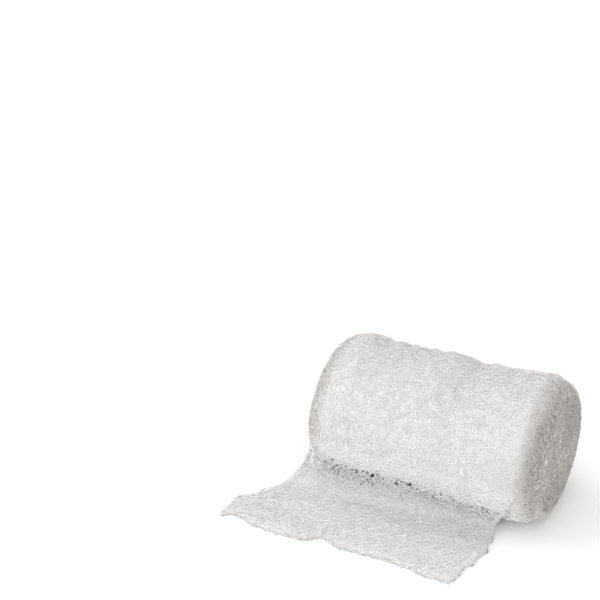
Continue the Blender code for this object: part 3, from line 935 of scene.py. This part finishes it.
RIM_CURL_STEPS = 9
RIM_CURL_LENGTHS = (1.2 * MM, 2.7 * MM)
RIM_CURL_SPREAD = 0.95 * MM     # of the curls' middles to both sides of their line
RIM_CURL_HEADING = 1.45         # radians to both sides of straight in
RIM_CURL_WAVES = (0.22 * MM, 0.50 * MM)
RIM_CURL_ROUNDS = (0.7, 1.6)    # of the wave in a curl
RIM_CURL_LIFTS = (0.05 * MM, 0.25 * MM)
RIM_CURL_RADII = (0.55, 0.35)   # at the tips, and more in the middle, as shares of a thread's
CURL_RISE = 0.02 * MM           # of curls and loops out of the end
NEAREST_RIM = 0.4 * MM          # least inward drop of a curl


def rim_curls(name, side, count, place, sunk=0.0, first=0.0, last=1.02):
    """Short curled threads across the outer turn's edge, where crosswise threads turn back.

    Their middles are drawn about the spiral of the turned edges, between two shares of a turn from
    its start and at a place outward of it. Each curl is a straight run in its own heading plus one
    round wave, and stands up a little in the middle.
    """
    first_drop, turned, _ = turn_edge_course(side)
    start = turned[0] + rng.uniform(first, last, (count, 1))
    heading = rng.uniform(-RIM_CURL_HEADING, RIM_CURL_HEADING, (count, 1))
    length = rng.uniform(*RIM_CURL_LENGTHS, (count, 1))
    wave = rng.uniform(*RIM_CURL_WAVES, (count, 1))
    phase = rng.uniform(0, 2 * math.pi, (count, 1))
    rounds = rng.uniform(*RIM_CURL_ROUNDS, (count, 1))
    lift = rng.uniform(*RIM_CURL_LIFTS, (count, 1))
    t = np.linspace(0, 1, RIM_CURL_STEPS)[None, :]
    round_wave = 2 * math.pi * rounds * t + phase
    inward = length * (t - 0.5) * np.cos(heading) + wave * np.sin(round_wave)
    aside = length * (t - 0.5) * np.sin(heading) + wave * np.cos(round_wave)
    middle = first_drop + EDGE_PITCH * start + rng.normal(-place, RIM_CURL_SPREAD, (count, 1))
    drop = np.maximum(middle + inward, NEAREST_RIM)
    angle = -360 * start + np.degrees(aside / ((ROLL_DEPTH + ROLL_HEIGHT) / 4 - drop))
    bulge = np.sin(math.pi * t)
    centre, normal = outward(side, drop, angle, lift * bulge + CURL_RISE - sunk)
    tip, more = RIM_CURL_RADII
    radius = np.broadcast_to(THREAD_RADIUS * (tip + more * bulge), drop.shape)
    return threads_mesh(name, centre, normal, radius)


# ---------------------------------------------------------------- the loose end's plies

PLY_ACROSS = 280
PLY_MARGIN = 0.004              # share of the width left free at each edge
PLY_START = -0.5 * MM           # distance along the strip at which the sheet begins
PLY_SINK = 0.62 * MM            # of its face below the strip's, and how much less it is where sheer
SHEER_RISE = 0.3 * MM
PLY_HOLE_GROWTH = 1.05          # how much further than the threads the openings push it out
RAGGED_CUT = 0.15 * MM          # how far the cut and the two edges waver, and in what waves
RAGGED_SIDES = 0.35 * MM
CUT_WAVES = (20, 2.0 * MM, 9 * MM)
SIDE_WAVES = (20, 2.4 * MM, 9 * MM)
RAGGED_POWER = 20               # that keeps the edges' waver to the edges
PLY_THICKNESS = 0.8 * MM
THIN_EDGE = 2.6 * MM            # how near the edges it thins down
THINNER_SHEER = 0.75            # by how much it is thinner where it is sheer
THINNEST_PLY = 0.1
EDGE_SHADE_SHARE = 0.8                 # how far the painted shade at the edges goes towards that of the sheer gaps
PLY_STEP = 0.5 * MM
PLY_FINE_STEP = 0.29 * MM       # through the line of openings, between these distances
FINE_FROM = (4 * MM, 5.5 * MM)
FINE_TO = (17 * MM, 18.5 * MM)
PLY_HOLE = 0.34 * MM            # faces nearer than this to an opening's middle are left out
EDGE_THINNESS = 0.2             # of the plies at the cut and the edges, as a share of the whole
THICKNESS_BANDS = 10
STATION_SAMPLES = 2001


def ply_stations():
    """Shares of the way along the loose end, closer together through the rows of openings."""
    fine = np.linspace(0, LOOSE_LENGTH, STATION_SAMPLES)
    near = ease(*FINE_FROM, fine) * (1 - ease(*FINE_TO, fine))
    density = 1 / (PLY_STEP + (PLY_FINE_STEP - PLY_STEP) * near)
    total = np.concatenate([[0], np.cumsum((density[1:] + density[:-1]) / 2 * np.diff(fine))])
    return np.interp(np.linspace(0, total[-1], int(total[-1])), total, fine) / LOOSE_LENGTH


def loose_plies():
    """The loose end's plies as one thin sheet under the threads, with the openings left out.

    Its thickness is a share of the whole one, less at its edges and where it is sheer, and never
    more than the room that there is above the surface.
    """
    share = np.linspace(PLY_MARGIN, 1 - PLY_MARGIN, PLY_ACROSS)[:, None]
    ragged = unevenness(waves(*CUT_WAVES, 1), share[:, :, None] * STRIP_WIDTH)
    last = LOOSE_LENGTH + RAGGED_CUT * (ragged - 1)
    stations = ply_stations()[None, :]
    along = PLY_START + (last - PLY_START) * stations
    side = RAGGED_SIDES * unevenness(waves(*SIDE_WAVES, 1), along[..., None])
    out = (share - 0.5) * 2
    share = share + np.sign(out) * np.abs(out)**RAGGED_POWER * side / STRIP_WIDTH
    middle_share = (share[:-1, :-1] + share[1:, 1:]) / 2
    middle_along = (along[:-1, :-1] + along[1:, 1:]) / 2
    _, _, clear = pushed_out(middle_share * STRIP_WIDTH, middle_along, 1.0)
    across, moved_along, _ = pushed_out(share * STRIP_WIDTH, along, PLY_HOLE_GROWTH)
    face, normal = on_strip(across / STRIP_WIDTH, moved_along)
    sheer = sheerness(share, along)
    height = PLIES_CRINKLE * crinkle(face) - PLY_SINK + SHEER_RISE * sheer - droop(share, along)
    points = face + normal * height[..., None]
    points[..., 2] = np.maximum(points[..., 2], LOWEST_PLY)
    inside = np.minimum(inside_edges(share), LOOSE_LENGTH - along)
    weight = EDGE_THINNESS + (1 - EDGE_THINNESS) * ease(0, THIN_EDGE, inside)
    weight = np.minimum(weight, 1 - THINNER_SHEER * sheer)
    weight = np.minimum(weight, (points[..., 2] - LOWEST_THREAD) / PLY_THICKNESS)

    index = np.arange(share.size).reshape(share.shape)
    quads = np.stack([index[:-1, :-1], index[:-1, 1:], index[1:, 1:], index[1:, :-1]], axis=-1)
    quads = quads[clear > PLY_HOLE]
    used = np.unique(quads)
    fresh = np.full(share.size, -1)
    fresh[used] = np.arange(len(used))
    own_map = np.stack(np.broadcast_arrays(np.clip(share, 0, 1), stations), axis=-1)
    flat = np.stack([share * STRIP_WIDTH, along, 0 * share], axis=-1)
    # painted shade: darker, wider gaps where the plies are sheer, and at the cut and the edges
    shade_tints = np.maximum(sheer, EDGE_SHADE_SHARE * edge_shade(share, along))
    thing = fill_mesh("loose_plies", points.reshape(-1, 3)[used], [fresh[quads]],
                      [own_map.reshape(-1, 2)[quads]], shade_tints.reshape(-1)[used],
                      flat.reshape(-1, 3)[used], closed=False)
    group = thing.vertex_groups.new(name="thickness")
    weight = np.maximum(weight, THINNEST_PLY).reshape(-1)[used]
    band = np.round(weight * THICKNESS_BANDS).astype(int)
    for level in np.unique(band):
        group.add(np.flatnonzero(band == level).tolist(), level / THICKNESS_BANDS, "REPLACE")
    thicken = thing.modifiers.new("plies", "SOLIDIFY")
    thicken.thickness = PLY_THICKNESS
    thicken.offset = -1
    thicken.vertex_group = group.name
    return thing


# ---------------------------------------------------------------- loose fibres

FIBRE_STEPS = 6
FIBRE_SHARES = (0.01, 0.99)     # of the width between which they begin
FIBRE_RADIUS = 0.045 * MM
FIBRE_TAPER = 0.7
FIBRE_LENGTHS = (1.2 * MM, 3.6 * MM)
FIBRE_BOW = 0.5                 # spread of half the turn that a fibre takes, in radians
FIBRE_HEIGHTS = (0.25 * MM, 0.85 * MM)
FIBRE_FREE = (0.5, 1.0)         # share of the arc: at 0.5 the far end stands highest


def stray_fibres(name, start, end, count):
    """Fine fibres that stand out of the strip: short arcs with one or both ends on its face."""
    share = rng.uniform(*FIBRE_SHARES, (count, 1))
    along = rng.uniform(start, end, (count, 1))
    heading = rng.uniform(0, 2 * math.pi, (count, 1))
    length = rng.uniform(*FIBRE_LENGTHS, (count, 1))
    bow = rng.normal(0, FIBRE_BOW, (count, 1))
    height = rng.uniform(*FIBRE_HEIGHTS, (count, 1))
    free = rng.uniform(*FIBRE_FREE, (count, 1))
    t = np.linspace(0, 1, FIBRE_STEPS)[None, :]
    turn = heading + bow * t * 2
    share = share + length * t * np.cos(turn) / STRIP_WIDTH
    along = along + length * t * np.sin(turn)
    face, normal = on_strip(share, np.clip(along, start, end))
    lift = height * np.sin(math.pi * t * free) + crinkle(face, crisp=False)
    radius = np.broadcast_to(FIBRE_RADIUS * (1 - FIBRE_TAPER * t), lift.shape)
    return threads_mesh(name, face + normal * lift[..., None], normal, radius, flatness=1.0)


# ---------------------------------------------------------------- materials

PATCHES = (9 * MM, 2, 0.5)      # soft patches, flecks, dull spots and curls: noises as
FLECKS = (0.9 * MM, 3, 0.6)     # size, detail and roughness
DULL_SPOTS = (1.4 * MM, 2, 0.5)
CURLS = (0.9 * MM, 1, 0.5)
FELT = (4, 0.65, 1.2)           # the felt's detail, roughness and distortion
PATCH_LEVELS = (0.35, 0.65)     # noise levels between which the patches turn over
FLECK_LEVELS = (0.3, 0.7)       # and the flecks and dull spots
FLECK_WHITES = ((0.96, 0.96, 0.96), (1.0, 1.0, 1.0))
ROUGHNESS = (0.86, 0.98)
COTTON_LOOK = (("Sheen Weight", 0.2), ("Sheen Roughness", 0.6), ("Specular IOR Level", 0.15))
FIRST_PLY = (2.4 * MM, 2.6 * MM, 0.92 * MM)    # size and reach of the threads' wander, and pitch
SECOND_PLY = (1.7 * MM, 3.4 * MM, 0.86 * MM)
SECOND_LOWER = 0.35             # by how much the second ply's threads lie below the first's
PLY_THREADS = (-0.25, 0.85)     # weave heights between which gap turns to thread
PLY_GAP_SHADE = 0.66                  # painted shade in the gaps beside the threads: how light they are
SHEER_GAP_SHADE = 0.12                # and where the plies are sheer, darker, as the shade seen through them
WIDER_GAPS = 0.42               # how much wider they are there
FELT_SHARE = 0.35               # of the felt beside drawn threads in the bump
CURL_LINE = (0.01, 0.10)        # noise levels beside the middle one between which a curl ends
PAINTED_END_SHADE_FROM = 34.5 * MM       # painted shade that greys the roll towards its two ends, from this far from its middle
PAINTED_END_SHADE_TO = 41.0 * MM
PAINTED_END_SHADE = (0.66, 0.635, 0.615)
EDGE_SHADE = (0.72, 0.71, 0.70)    # painted shade on the threads at the cut and the laid strip's edges
PAINTED_RIM_SHADE = (0.66, 0.645, 0.63)     # painted shade on the turned edge that lies outermost

MIX_A, MIX_B, MIX_RESULT = 6, 7, 2     # the colour sockets of a mix node

THREAD_FELT = (0.22 * MM, 0.35)    # size of the felt, and strength of its bump
PLY_FELT = (0.3 * MM, 0.7)
EDGE_FELT = (0.3 * MM, 0.8)
ROLL_WHITES = ((0.832, 0.818, 0.812), (0.812, 0.797, 0.790))
# lighter than the roll's: painted light that makes up for the roll's shade on the loose end
LOOSE_LIT_WHITES = ((0.865, 0.851, 0.845), (0.843, 0.828, 0.820))
# darker and warmer than the roll's: painted shade and warm bounce light on the roll's ends
EDGE_SHADED_WHITES = ((0.800, 0.766, 0.738), (0.745, 0.711, 0.683))


def add_node(tree, kind, sockets=(), **settings):
    """A new shader node with its settings, its input sockets fed by values or other outputs."""
    node = tree.nodes.new("ShaderNode" + kind)
    for setting, value in settings.items():
        setattr(node, setting, value)
    for socket, source in dict(sockets).items():
        if isinstance(source, bpy.types.NodeSocket):
            tree.links.new(source, node.inputs[socket])
        else:
            node.inputs[socket].default_value = source
    return node


def cotton(name, whites, felt, kind="thread", painted_end_shade=False):
    """Bleached cotton, matt, in soft patches of two close whites, with a felt of fine fibres.

    "thread" darkens with the tint, a painted shade at the loose end's cut and edges. "plies" draws
    the threads of the plies below: wavering lines both ways across the flat strip, one pitch apart,
    light on the threads with painted shade between them, wider and darker where the tint says
    sheer. "turned edge" draws curling threads along the level lines of a noise with painted shade
    between them, and greys the outermost edge with painted shade. The last argument greys the roll
    towards its two ends with painted shade.
    """
    material = bpy.data.materials.new(name)
    material.use_nodes = True
    tree = material.node_tree
    place = add_node(tree, "TexCoord").outputs["Object"]
    # the tint says how much painted shade a place takes
    shade_tint = add_node(tree, "Attribute", attribute_name="shade_tint").outputs["Fac"]

    def math_of(operation, *sources):
        return add_node(tree, "Math", enumerate(sources), operation=operation).outputs[0]

    def noise(size, detail, roughness, distortion=0.0, output="Fac"):
        return add_node(tree, "TexNoise", {
            "Vector": place, "Scale": 1 / size, "Detail": detail, "Roughness": roughness,
            "Distortion": distortion}).outputs[output]

    def reranged(source, low, high, to_low=0, to_high=1):
        limits = enumerate((source, low, high, to_low, to_high))
        return add_node(tree, "MapRange", limits).outputs[0]

    def mixed(share, first, second, blend="MIX"):
        first, second = ((*colour, 1) if isinstance(colour, tuple) else colour
                         for colour in (first, second))
        return add_node(tree, "Mix", {"Factor": share, MIX_A: first, MIX_B: second},
                        data_type="RGBA", blend_type=blend).outputs[MIX_RESULT]

    def darkened(share, colour, by):
        """The colour, multiplied by another one as far as the share says."""
        return mixed(share, colour, mixed(1.0, colour, by, "MULTIPLY"))

    def part(vector, axis):
        """A vector's x, y or z."""
        return add_node(tree, "SeparateXYZ", {0: vector}).outputs[axis]

    def woven(wander_size, wander, pitch):
        """1 on the threads of a wavering plain weave of the pitch, -1 in its gaps."""
        flat = add_node(tree, "Attribute", attribute_name="weave").outputs["Vector"]
        drift = add_node(tree, "VectorMath", {
            0: noise(wander_size, 1, 0.5, output="Color"), 1: (wander, wander, wander), 2: flat},
            operation="MULTIPLY_ADD").outputs[0]
        return math_of("MAXIMUM", *(
            math_of("COSINE", math_of("MULTIPLY", part(drift, axis), 2 * math.pi / pitch))
            for axis in (0, 1)))

    colour = mixed(reranged(noise(*PATCHES), *PATCH_LEVELS), *whites)
    flecks = mixed(reranged(noise(*FLECKS), *FLECK_LEVELS), *FLECK_WHITES)
    colour = mixed(1.0, colour, flecks, "MULTIPLY")
    size, strength = felt
    relief = noise(size, *FELT)
    # painted shade for the gaps between threads, darker where the plies are sheer
    gap_shade, sheer_gap_shade = (tuple(c * light for c in whites[1]) for light in (PLY_GAP_SHADE, SHEER_GAP_SHADE))
    if kind == "thread":
        # painted shade on the threads at the cut and the edges
        colour = darkened(shade_tint, colour, EDGE_SHADE)
    else:
        if kind == "plies":
            second = math_of("SUBTRACT", woven(*SECOND_PLY), SECOND_LOWER)
            threads = math_of("MAXIMUM", woven(*FIRST_PLY), second)
            threads = math_of("SUBTRACT", threads, math_of("MULTIPLY", shade_tint, WIDER_GAPS))
            threads = reranged(threads, *PLY_THREADS)
            colour = mixed(threads, mixed(shade_tint, gap_shade, sheer_gap_shade), colour)
        else:
            # painted shade between the curling threads of the turned edge
            level = math_of("ABSOLUTE", math_of("SUBTRACT", noise(*CURLS), 0.5))
            threads = reranged(level, *CURL_LINE, 1, 0)
            # painted shade greys the outermost turned edge
            colour = darkened(shade_tint, mixed(threads, gap_shade, colour), PAINTED_RIM_SHADE)
        relief = math_of("MULTIPLY_ADD", relief, FELT_SHARE, threads)
    # painted shade: the roll greys towards its two ends, where they face away from the light
    if painted_end_shade:
        from_middle = math_of("ABSOLUTE", part(place, 0))
        colour = darkened(reranged(from_middle, PAINTED_END_SHADE_FROM, PAINTED_END_SHADE_TO), colour, PAINTED_END_SHADE)
    shader = tree.nodes["Principled BSDF"]
    dull = reranged(noise(*DULL_SPOTS), *FLECK_LEVELS, *ROUGHNESS)
    bump = add_node(tree, "Bump", {"Strength": strength, "Distance": size, "Height": relief})
    for source, socket in ((colour, "Base Color"), (dull, "Roughness"),
                           (bump.outputs["Normal"], "Normal")):
        tree.links.new(source, shader.inputs[socket])
    for socket, value in COTTON_LOOK:
        shader.inputs[socket].default_value = value
    return material


# ---------------------------------------------------------------- the scene

SOFT_LIGHTS = (                 # (name, strength, spread, height above the horizon, azimuth)
    ("left_window", 2.63, 75.0, 18.0, -80.0), ("front_window", 2.70, 75.0, 15.0, 20.0),
    ("right_window", 1.23, 75.0, 15.0, 80.0), ("ceiling", 1.36, 90.0, 80.0, -20.0),
    ("far_window", 0.34, 80.0, 45.0, -165.0))
SURROUND = 0.1                  # strength of the surround, and as the camera sees it
SURROUND_SEEN = 1.1
FLOOR_RADIUS = 5.0
FLOOR_SIDES = 64
FLOOR_LOOK = (("Base Color", (0.96, 0.96, 0.96, 1)), ("Roughness", 0.9),
              ("Specular IOR Level", 0.1))
CAMERA_REACH = (0.01, 20)       # nearest and furthest distance that it shows


def studio():
    """A pale round floor under soft window-like lights, in a weak surround seen as white.

    The lights come in low from the left, the front and the right, from a ceiling, and weakly
    from behind.
    """
    turn = np.linspace(0, 2 * math.pi, FLOOR_SIDES, endpoint=False)
    rim = FLOOR_RADIUS * np.stack([np.cos(turn), np.sin(turn), 0 * turn], axis=1)
    mesh = bpy.data.meshes.new("floor")
    mesh.from_pydata(rim.tolist(), [], [list(range(FLOOR_SIDES))])
    floor = add_thing("floor", mesh)
    paper = bpy.data.materials.new("floor_paper")
    paper.use_nodes = True
    for socket, value in FLOOR_LOOK:
        paper.node_tree.nodes["Principled BSDF"].inputs[socket].default_value = value
    mesh.materials.append(paper)

    for name, strength, spread, height, azimuth in SOFT_LIGHTS:
        light = bpy.data.lights.new(name, "SUN")
        light.energy = strength
        light.angle = math.radians(spread)
        lamp = add_thing(name, light)
        lamp.rotation_euler = (math.radians(90 - height), 0, math.radians(azimuth))

    world = bpy.data.worlds.new("surround")
    world.use_nodes = True
    tree = world.node_tree
    sky = tree.nodes["Background"]
    sky.inputs["Color"].default_value = (1.0, 1.0, 1.0, 1)
    seen = add_node(tree, "MapRange", {
        "Value": add_node(tree, "LightPath").outputs["Is Camera Ray"], "To Min": SURROUND,
        "To Max": SURROUND_SEEN})
    tree.links.new(seen.outputs["Result"], sky.inputs["Strength"])
    bpy.context.scene.world = world
    bpy.context.scene.view_settings.view_transform = "Standard"


def camera():
    """The camera at the photograph's place, with its field of view."""
    data = bpy.data.cameras.new("camera")
    data.sensor_width = SENSOR_MM
    data.lens = SENSOR_MM * FOCAL_PIXELS / IMAGE_PIXELS
    data.clip_start, data.clip_end = CAMERA_REACH
    thing = add_thing("camera", data)
    thing.location = CAMERA_PLACE
    thing.rotation_euler = (math.radians(90 - CAMERA_ELEVATION), 0, math.radians(CAMERA_AZIMUTH))
    bpy.context.scene.camera = thing


camera()
studio()

body = roll_body()
lengthwise = lengthwise_threads("roll_lengthwise_threads", TURN_START, 0.3 * MM,
                                ragged_start=1 * MM, ragged_end=0)
crosswise = crosswise_threads("roll_crosswise_threads", COVERED_UNTIL, 0)
below_right = crosswise_threads("under_turn_threads_right", FIRST_SHOWN, COVERED_UNTIL,
                                from_share=BELOW_RIGHT)
below_left = crosswise_threads("under_turn_threads_left", TURN_START, COVERED_UNTIL,
                               to_share=BELOW_LEFT)
right_edges = turn_edges("turn_edges_right", RIGHT)
left_edges = turn_edges("turn_edges_left", LEFT)
right_loops = edge_threads("turn_edge_threads_right", RIGHT)
left_loops = edge_threads("turn_edge_threads_left", LEFT)
plies = loose_plies()
loose_long = lengthwise_threads("loose_lengthwise_threads", 0, LOOSE_LENGTH,
                                ragged_start=0, ragged_end=0.25 * MM)
loose_cross = crosswise_threads("loose_crosswise_threads", 0, LOOSE_LENGTH - 0.4 * MM)
roll_fibres = stray_fibres("roll_fibres", TURN_START, 0, count=1100)
loose_fibres = stray_fibres("loose_fibres", 0, LOOSE_LENGTH, count=400)
right_curls = rim_curls("rim_curls_right", RIGHT, count=780, place=0.85 * MM)
left_curls = rim_curls("rim_curls_left", LEFT, count=560, place=0.85 * MM)
front_curls = rim_curls("rim_curls_front", RIGHT, count=240, place=2.1 * MM, sunk=0.75 * MM,
                        first=0.82, last=1.05)

ROLL_THREADS = cotton("roll_thread_cotton", ROLL_WHITES, THREAD_FELT, painted_end_shade=True)
ROLL_PLIES = cotton("roll_ply_cotton", ROLL_WHITES, PLY_FELT, "plies", painted_end_shade=True)
LOOSE_THREADS = cotton("loose_thread_cotton", LOOSE_LIT_WHITES, THREAD_FELT)
LOOSE_PLIES = cotton("loose_ply_cotton", LOOSE_LIT_WHITES, PLY_FELT, "plies")
EDGE_COTTON = cotton("edge_cotton", EDGE_SHADED_WHITES, EDGE_FELT, "turned edge")

for slot, finish, things in (
        ("wound_gauze", ROLL_PLIES, (body,)),
        ("wound_gauze", ROLL_THREADS, (lengthwise, crosswise, below_right, below_left)),
        ("wound_gauze", EDGE_COTTON, (right_edges, left_edges, right_loops, left_loops)),
        ("wound_gauze", ROLL_THREADS, (right_curls, left_curls, front_curls, roll_fibres)),
        ("loose_gauze", LOOSE_PLIES, (plies,)),
        ("loose_gauze", LOOSE_THREADS, (loose_long, loose_cross, loose_fibres))):
    for thing in things:
        thing.data.materials.append(finish)
        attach(thing, "root")

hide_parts("wound_roll")
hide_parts("loose_end")
